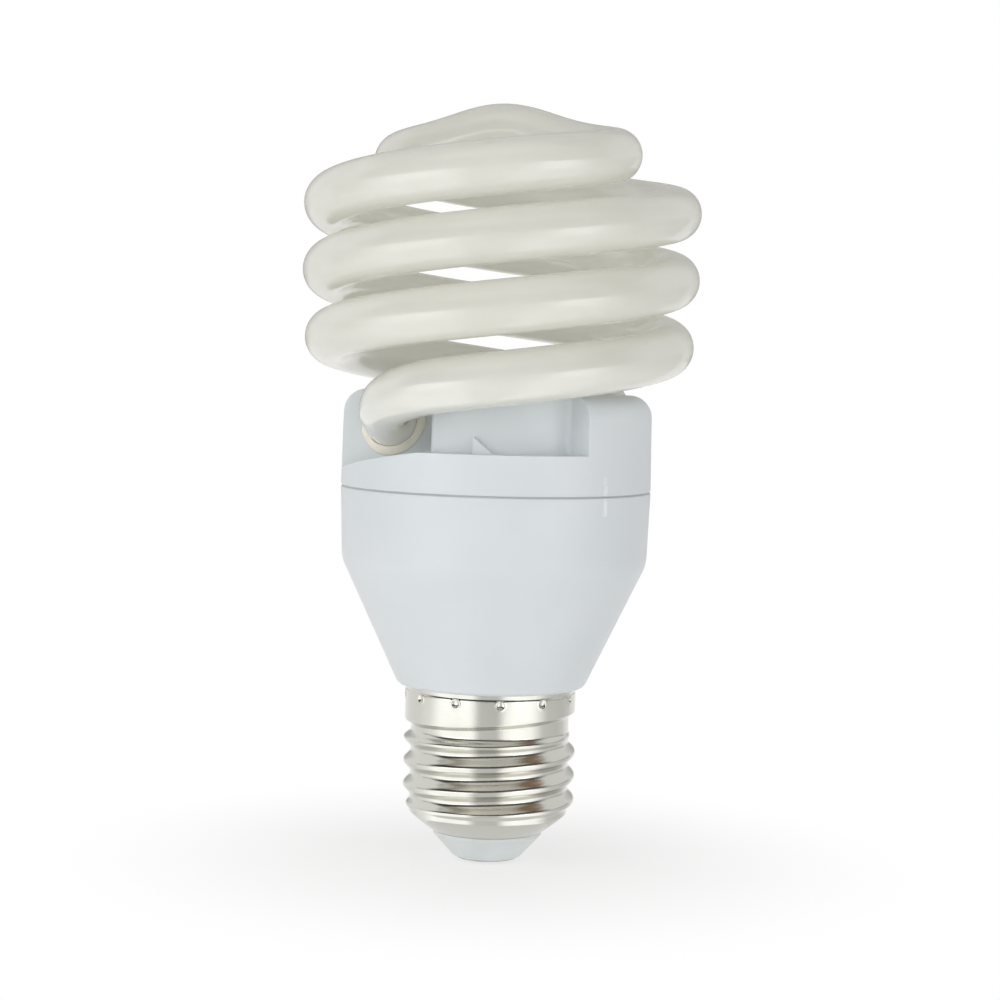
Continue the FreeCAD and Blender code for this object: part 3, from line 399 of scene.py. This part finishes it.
def tail_line():
    """Bend of a strand into the cover, as points from the coil's start, and its heading at the end.

    In plan it is an arc that leaves the coil's tangent; its height falls with the square of the share run.
    """
    widening = 2 * (COIL_RADIUS - COIL_START_RADIUS) / math.radians(COIL_WIDENING)
    outwards = polar(1.0, COIL_START, 0.0)
    along = np.cross((0, 0, 1), outwards)
    back = -outwards * widening - along * COIL_START_RADIUS
    back /= np.linalg.norm(back)
    inwards = np.cross(back, (0, 0, 1))
    share = np.linspace(0, 1, 40)[:, None]
    swing = TAIL_TURN * share
    fall = COIL_PITCH / (2 * math.pi * COIL_RADIUS) * TAIL_RADIUS * TAIL_TURN
    drop = coil_height(COIL_START) - fall - TAIL_END_HEIGHT
    line = polar(COIL_START_RADIUS, COIL_START, 0.0) + inwards * TAIL_RADIUS * (1 - np.cos(swing))
    line = line + back * TAIL_RADIUS * np.sin(swing)
    line[:, 2:] = coil_height(COIL_START) - fall * share - drop * share ** 2
    heading = back * math.cos(TAIL_TURN) + inwards * math.sin(TAIL_TURN)
    heading[2] = -(fall + 2 * drop) / (TAIL_TURN * TAIL_RADIUS)
    return line, heading / np.linalg.norm(heading)


def tube_line(spacing=0.6):
    """Whole centre line from end to end, in even steps.

    A strand is a straight end, the tail's bend, a coil whose radius eases out to its full size, and a crown
    whose radius falls to nothing at the axis, where a bell-shaped hump lifts it. The second strand is the
    first after half a turn.
    """
    tail, heading = tail_line()
    straight = tail[-1] + heading * np.linspace(TAIL_STRAIGHT, 0, 12)[:-1, None]
    azimuth = np.linspace(COIL_START, CROWN_START, 500)[1:]
    left = np.maximum(0, 1 - (azimuth - COIL_START) / COIL_WIDENING)
    coil = polar(COIL_RADIUS - (COIL_RADIUS - COIL_START_RADIUS) * left ** 2, azimuth, coil_height(azimuth))
    share = 1 - np.linspace(1, 0, 400)[1:] ** 2
    radius = COIL_RADIUS * np.sqrt(1 - share ** CROWN_POWER)
    azimuth = CROWN_START + share * (CROWN_END - CROWN_START)
    hump = CROWN_HUMP * np.exp(-(radius / CROWN_HUMP_REACH) ** 2)
    crown = polar(radius, azimuth, coil_height(azimuth) - CROWN_SINK * share + hump)
    strand = np.concatenate([straight, tail[::-1], coil, crown])
    line = np.concatenate([strand, strand[-2::-1] * (-1, -1, 1)])
    run = np.concatenate([[0], np.cumsum(np.linalg.norm(np.diff(line, axis=0), axis=1))])
    even = np.linspace(0, run[-1], round(run[-1] / spacing))
    return np.stack([np.interp(even, run, line[:, i]) for i in range(3)], -1)


def spiral_tube(columns=44):
    """Circle carried along the centre line, square to it, with its first side level; both ends are closed."""
    line = tube_line()
    heading = np.gradient(line, axis=0)
    side = np.cross(heading, (0, 0, 1))
    side /= np.linalg.norm(side, axis=1, keepdims=True)
    rise = np.cross(side, heading)
    rise /= np.linalg.norm(rise, axis=1, keepdims=True)
    turn = np.linspace(0, 2 * math.pi, columns, endpoint=False)[None, :, None]
    skin = line[:, None] + TUBE_RADIUS * (np.cos(turn) * side[:, None] + np.sin(turn) * rise[:, None])
    ends = np.repeat(line[[0, -1], None], columns, 1)
    return np.concatenate([ends[:1], skin, ends[1:]])


def cement_ring(columns=96, steps=5):
    """Ring of cement in one hole of the cover, in a frame along the tube's end.

    Its outline is a bead outside the wall and a collar in the hole. The bead's reach and height swell and
    shrink by sums of sines round the ring, as a smeared bead does, and it is scraped level at the roof.
    """
    tail, heading = tail_line()
    centre = tail[-1] + heading * WALL_PAST_BEND
    side = np.cross(heading, (0, 0, 1))
    side /= np.linalg.norm(side)
    rise = np.cross(side, heading)
    inner = TUBE_RADIUS + FIT
    outer = HOLE_RADIUS - FIT
    bead = TUBE_RADIUS + CEMENT_REACH
    outline = rounded([
        (inner, -CEMENT_HEIGHT, 0), (inner + 0.4, -CEMENT_HEIGHT, 0.25), (bead, -0.4, 0.3), (bead, 0, 0),
        (outer, 0, 0), (outer, COVER_WALL, 0), (inner, COVER_WALL, 0),
    ], steps)
    turn = np.linspace(0, 2 * math.pi, columns, endpoint=False)[None, :]
    swell = 0.82 + 0.1 * np.sin(3 * turn + 0.4) + 0.05 * np.sin(7 * turn + 2.0) + 0.03 * np.sin(13 * turn)
    reach = outline[:, :1]
    reach = np.where(reach > outer, outer + (reach - outer) * swell, reach)
    depth = np.where(outline[:, 1:] < 0, outline[:, 1:] * swell, outline[:, 1:])
    ring = centre + (reach * np.cos(turn))[..., None] * side + (reach * np.sin(turn))[..., None] * rise
    ring = ring + depth[..., None] * heading
    ring[..., 2] = np.minimum(ring[..., 2], COVER_TOP)
    return ring


def cap_radius(height, azimuth):
    """Radius of the rolled cap's outer skin.

    A collar with a leaning edge steps down through a cosine groove to the thread's root, which closes in a
    bulged cone. The thread is a cosine wave that climbs one pitch a turn and fades at both ends. A groove
    runs under the rim, and each crimp is a round dent inside a low raised lip.
    """
    edge = COLLAR_EDGE + COLLAR_LEAN * np.cos(np.radians(azimuth))
    groove = np.clip((edge - height) / COLLAR_GROOVE, 0, 1)
    radius = COLLAR_RADIUS + (ROOT_RADIUS - COLLAR_RADIUS) * (0.5 - 0.5 * np.cos(math.pi * groove))
    cone = np.clip((THREAD_BOTTOM - height) / (THREAD_BOTTOM - LIP_HEIGHT), 0, 1)
    radius = radius + (LIP_RADIUS - ROOT_RADIUS) * cone ** CONE_BULGE
    fade = np.clip(np.minimum(THREAD_TOP - height, height - THREAD_BOTTOM) / THREAD_FADE, 0, 1)
    fade = fade ** 2 * (3 - 2 * fade)
    wave = 0.5 + 0.5 * np.cos(2 * math.pi * height / THREAD_PITCH - np.radians(azimuth - THREAD_TURN))
    radius = radius + (CREST_RADIUS - ROOT_RADIUS) * fade * wave
    under_rim = (CAP_LENGTH - RIM_GROOVE_BELOW - height) / RIM_GROOVE_HEIGHT
    radius = radius - RIM_GROOVE * np.exp(-under_rim ** 2)
    step = 360.0 / CRIMP_COUNT
    across = np.radians((azimuth - CRIMP_TURN + step / 2) % step - step / 2) * COLLAR_RADIUS
    away = np.hypot(across, height - (CAP_LENGTH - CRIMP_BELOW_RIM)) / CRIMP_RADIUS
    lip = np.exp(-((away - CRIMP_LIP_AWAY) / CRIMP_LIP_WIDTH) ** 2)
    return radius - CRIMP_DEPTH * np.exp(-away ** 4) + CRIMP_LIP * lip


def screw_shell():
    """Outer skin from rim to lip, and the inner skin one sheet inside it back to the rim.

    Columns and rows stand closer together at the crimps.
    """
    step = 360.0 / CRIMP_COUNT
    near = CRIMP_TURN + step * np.arange(CRIMP_COUNT)[:, None] + np.linspace(-CRIMP_SPAN, CRIMP_SPAN, 19)
    azimuth = np.unique(np.concatenate([np.arange(0, 360, 2.5), near.ravel() % 360]).round(3))[None, :]
    fine = np.linspace(CAP_LENGTH, CAP_LENGTH - CRIMP_BAND, 34)
    coarse = np.linspace(CAP_LENGTH - CRIMP_BAND, LIP_HEIGHT, 150)[1:]
    outer_height = np.concatenate([fine, coarse])[:, None]
    inner_height = np.linspace(LIP_HEIGHT, CAP_LENGTH, 60)[:, None]
    outer = polar(cap_radius(outer_height, azimuth), azimuth, outer_height)
    inner = polar(cap_radius(inner_height, azimuth) - CAP_SHEET, azimuth, inner_height)
    return np.concatenate([outer, inner, outer[:1]])


def cap_insulator():
    """Turned cone between the cap's lip and the centre contact, with a flange inside the lip."""
    stem = CONTACT_STEM + FIT
    seat = CONTACT_RADIUS + FIT
    plate = CONTACT_RIM + CONTACT_CROWN
    lip = LIP_RADIUS - CAP_SHEET - FIT
    return turned(rounded([
        (stem, plate, 0), (seat, plate, 0),
        (seat, INSULATOR_FOOT_HEIGHT, 0.05), (INSULATOR_FOOT, INSULATOR_FOOT_HEIGHT, 0.25),
        (LIP_RADIUS, LIP_HEIGHT - 0.4, 0.3), (LIP_RADIUS, LIP_HEIGHT, 0), (lip, LIP_HEIGHT, 0),
        (lip, LIP_HEIGHT + CAP_SHEET, 0), (lip + INSULATOR_FLARE, INSULATOR_TOP, 0.1),
        (stem, INSULATOR_TOP, 0),
    ]))


def centre_contact():
    """Turned contact: a low dome with a pressed ring round its solder spot, a plate and a stem."""
    reach = np.linspace(0, CONTACT_RADIUS, 48)
    dome = CONTACT_CROWN * (reach / CONTACT_RADIUS) ** 2
    dome = dome + CONTACT_RING * np.exp(-((reach - CONTACT_RING_RADIUS) / CONTACT_RING_WIDTH) ** 2)
    plate = CONTACT_CROWN + CONTACT_RIM
    stem = [(CONTACT_STEM, plate), (CONTACT_STEM, CONTACT_STEM_TOP), (0, CONTACT_STEM_TOP)]
    return turned(np.concatenate([np.stack([reach, dome], -1), [(CONTACT_RADIUS, plate)], stem]))


def pocket_end(edge):
    """True for an outer edge of the end wall of one of the cover's pockets."""
    middle = (edge.verts[0].co + edge.verts[1].co) / (2 * MM)
    turn = math.degrees(math.atan2(middle.y, middle.x)) % 180.0
    outside = math.hypot(middle.x, middle.y) > POCKET_INSIDE and middle.z > LEDGE_HEIGHT + 0.1
    return outside and abs(turn - POCKET_END) < 2.0 and edge.calc_face_angle_signed(0.0) > 1.0


def softened(name, node, width):
    """Copy of a moulded node, joined up, with its flat faces whole and its edges rounded as in a mould."""
    mesh = frame["nodes"][node].data.copy()
    mesh.attributes.remove(mesh.attributes["custom_normal"])
    shape = bmesh.new()
    shape.from_mesh(mesh)
    bmesh.ops.remove_doubles(shape, verts=shape.verts, dist=JOIN * MM)
    bmesh.ops.dissolve_limit(shape, angle_limit=math.radians(0.6), verts=shape.verts, edges=shape.edges)
    ends = list(filter(pocket_end, shape.edges))
    bmesh.ops.bevel(shape, geom=ends, offset=POCKET_END_ROUND * MM, offset_type="OFFSET", segments=6,
                    profile=0.5, affect="EDGES", clamp_overlap=True)
    shape.to_mesh(mesh)
    shape.free()
    made = dressed(name, mesh, node, "white_plastic", 30.0)
    soft = made.modifiers.new("edges", "BEVEL")
    soft.width = width * MM
    soft.segments = 3
    soft.limit_method = "ANGLE"
    soft.angle_limit = math.radians(35.0)
    soft.harden_normals = True
    return made


def second(ring):
    """The like piece on the other side, after half a turn."""
    return ring * (-1, -1, 1)


dressed("glass_spiral", grid_mesh("glass_spiral", spiral_tube()), "spiral_tube", "coated_glass", 60.0)
ring = cement_ring()
dressed("cement_beads", grid_mesh("cement_beads", ring, second(ring)), "tube_cement", "cement", 50.0)
dressed("cap_rolled", grid_mesh("cap_rolled", screw_shell()), "screw_shell", "nickel", 50.0)
dressed("insulator_pressed", grid_mesh("insulator_pressed", cap_insulator()), "cap_insulator", "white_glass")
dressed("contact_stamped", grid_mesh("contact_stamped", centre_contact()), "centre_contact", "tinned_contact")
softened("cover_moulded", "top_cover", COVER_EDGE_ROUND)

for part in frame["record"]["subparts"]:
    for holder in frame["nodes"][part["node"]].material_slots:
        holder.material = finishes[part["material_slot"]]


# Studio: a pale table that also lights from below, soft panels at the sides and front, and cards for mirrors


def seen_directly(tree):
    """1 for rays from the camera and from mirrors and glass, 0 for the light that falls on things."""
    path = add(tree, "LightPath")
    glossy = path.outputs["Is Glossy Ray"]
    through = path.outputs["Is Transmission Ray"]
    mirror = add(tree, "Math", {0: glossy, 1: through}, operation="MAXIMUM").outputs[0]
    seen = add(tree, "Math", {0: path.outputs["Is Camera Ray"], 1: mirror}, operation="MAXIMUM")
    return seen.outputs[0]


def studio_world(level):
    """White room, greyer overhead; things are lit by a weaker share of it."""
    world = bpy.data.worlds.new("studio")
    bpy.context.scene.world = world
    world.use_nodes = True
    tree = world.node_tree
    tree.nodes.clear()
    up = add(tree, "SeparateXYZ", {0: add(tree, "TexCoord").outputs["Generated"]}).outputs["Z"]
    sky = add(tree, "ValToRGB", {"Fac": up})
    for stop, position, code in zip(sky.color_ramp.elements, (0.35, 0.85), ("#ffffff", "#c4c4c4")):
        stop.position = position
        stop.color = linear(code)
    strength = add(tree, "MapRange", {0: seen_directly(tree), 3: level, 4: 1.0}).outputs[0]
    light = add(tree, "Background", {"Color": sky.outputs["Color"], "Strength": strength})
    add(tree, "OutputWorld", {"Surface": light.outputs[0]})


def panel(name, place, target, width, height, level):
    """Soft light panel at a place in metres, turned to a target; level 1 is as bright as white paper.

    Mirrors don't show it: they show the cards instead.
    """
    lamp = bpy.data.lights.new(name, "AREA")
    lamp.shape = "RECTANGLE"
    lamp.size = width
    lamp.size_y = height
    lamp.energy = level * math.pi * width * height
    made = bpy.data.objects.new(name, lamp)
    bpy.context.scene.collection.objects.link(made)
    made.location = place
    aim = np.array(target) - np.array(place)
    made.rotation_euler = (math.atan2(math.hypot(aim[0], aim[1]), -aim[2]), 0, math.atan2(-aim[0], aim[1]))
    made.visible_camera = False
    made.visible_glossy = False


def stage_patch(name, points, material):
    """Sheet of the studio: a grid of points in millimetres that isn't part of the lamp."""
    rows, columns = points.shape[:2]
    corner = (np.arange(rows - 1)[:, None] * columns + np.arange(columns - 1)).ravel()
    quads = np.stack([corner, corner + 1, corner + columns + 1, corner + columns], -1)
    mesh = bpy.data.meshes.new(name)
    mesh.from_pydata((points.reshape(-1, 3) * MM).tolist(), [], quads.tolist())
    mesh.materials.append(material)
    made = bpy.data.objects.new(name, mesh)
    bpy.context.scene.collection.objects.link(made)
    return made


def table_top():
    """Pale table round the lamp that turns pure white away from it, and keeps the lamp's shadow."""
    made, tree, shader = new_material("paper_matt_white", Roughness=0.9)
    shader.inputs["Base Color"].default_value = linear("#f2f2f0")
    place = add(tree, "TexCoord").outputs["Object"]
    away = add(tree, "VectorMath", {0: place}, operation="LENGTH").outputs["Value"]
    far = add(tree, "MapRange", {0: away, 1: 4.0 * MM, 2: 70.0 * MM, 3: 0.65, 4: 1.0},
              interpolation_type="SMOOTHSTEP")
    white = add(tree, "Math", {0: far.outputs[0], 1: seen_directly(tree)}, operation="MULTIPLY")
    glow = add(tree, "Emission", {"Color": linear("#ffffff"), "Strength": 1.0})
    blend = add(tree, "MixShader", {0: white.outputs[0], 1: shader.outputs[0], 2: glow.outputs[0]})
    tree.links.new(blend.outputs[0], tree.nodes["Material Output"].inputs["Surface"])
    side = np.array([-3000.0, 3000.0])
    stage_patch("table", np.stack(np.broadcast_arrays(side[None, :], side[:, None], 0.0), -1), made)


def mirror_card(name, near, far, tone, azimuths, levels):
    """Card between two (radius, height) edges that only mirrors and glass show.

    Its glow runs evenly from level to level over the azimuths.
    """
    made, tree, shader = new_material("paper_matt_" + name, Roughness=0.9)
    shader.inputs["Base Color"].default_value = linear("#000000")
    shader.inputs["Emission Color"].default_value = linear(tone)
    glow = add(tree, "Attribute", attribute_name="glow")
    tree.links.new(glow.outputs["Fac"], shader.inputs["Emission Strength"])
    swing = np.linspace(azimuths[0], azimuths[-1], 120)
    edges = np.array([near, far], float)
    card = stage_patch(name, polar(edges[:, :1], swing[None, :], edges[:, 1:]), made)
    level = np.tile(np.interp(swing, azimuths, levels), 2)
    card.data.attributes.new("glow", "FLOAT", "POINT").data.foreach_set("value", level)
    card.visible_camera = False
    card.visible_diffuse = False
    card.visible_shadow = False
    card.visible_transmission = False


CAMERA_PLACE = (0.000686, -0.3792, 0.0800)
CAMERA_TILT = 0.065
CAMERA_ROLL = 0.026
CAMERA_LENS = 89.54


def photograph_camera():
    """Camera in front of the lamp, a little above its middle, looking slightly down, with a slight roll."""
    lens = bpy.data.cameras.new("camera")
    lens.sensor_width = 36.0
    lens.lens = CAMERA_LENS
    lens.clip_start = 0.01
    made = bpy.data.objects.new("camera", lens)
    bpy.context.scene.collection.objects.link(made)
    made.location = CAMERA_PLACE
    made.rotation_mode = "ZYX"
    made.rotation_euler = (math.radians(90.0) - CAMERA_TILT, 0.0, CAMERA_ROLL)
    bpy.context.scene.camera = made


studio_world(0.62)
table_top()
photograph_camera()
panel("panel_left", (-0.42, -0.42, 0.30), (0, 0, 0.06), 0.4, 0.3, 2.2)
panel("panel_right", (0.42, -0.42, 0.20), (0, 0, 0.06), 0.4, 0.3, 0.75)
panel("fill_front", (0.02, -0.60, 0.05), (0, 0, 0.06), 0.25, 0.25, 2.4)
panel("table_light", (0, 0, 0.0003), (0, 0, 1), 1.2, 1.2, 0.26)

# What the mirror of the cap and the skin of the glass show: a bright table left and right of the camera, a
# dark room behind it, a warm ceiling over that, a brown patch at the right, and a wall at the back that is
# greyer straight behind the lamp. Azimuths are degrees, and each has its glow.
NEAR = (160, 184, 201, 225, 246, 256, 280, 290, 300, 330, 350, 380, 405)
NEAR_GLOW = (0.95, 1.14, 1.6, 1.5, 1.6, 0.8, 0.75, 1.5, 1.65, 1.5, 0.8, 0.7, 0.85)
FAR = (160, 182, 196, 210, 238, 256, 284, 298, 306, 322, 336, 350, 405)
FAR_GLOW = (0.6, 0.7, 1.2, 2.2, 2.2, 0.6, 0.5, 1.4, 2.4, 2.4, 1.2, 0.6, 0.6)
CEILING = (172, 188, 201, 225, 270, 315, 336, 366)
CEILING_GLOW = (1.0, 0.45, 0.5, 1.0, 0.8, 0.8, 0.5, 0.9)
ROOM = (172, 188, 270, 348, 366)
ROOM_GLOW = (1.0, 0.05, 0.08, 0.12, 0.9)
BROWN = (338, 345, 362, 374)
BROWN_GLOW = (0.6, 0.42, 0.42, 0.9)
WALL = (6, 50, 70, 110, 130, 172)
WALL_GLOW = (0.9, 0.9, 0.5, 0.5, 1.0, 1.0)
mirror_card("near_table", (12.5, 0.4), (230, 0.4), "#ffffff", NEAR, NEAR_GLOW)
mirror_card("far_table", (230, 0.4), (600, 0.4), "#ffffff", FAR, FAR_GLOW)
mirror_card("skirting", (600, 0.4), (600, 130), "#ffffff", FAR, FAR_GLOW)
mirror_card("dark_room", (610, 130), (610, 620), "#ffffff", ROOM, ROOM_GLOW)
mirror_card("warm_ceiling", (610, 620), (160, 1000), "#f2ece0", CEILING, CEILING_GLOW)
mirror_card("brown_card", (590, 600), (170, 960), "#d0b095", BROWN, BROWN_GLOW)
mirror_card("back_wall", (640, 0), (640, 700), "#ffffff", WALL, WALL_GLOW)
bpy.context.scene.view_settings.view_transform = "Standard"
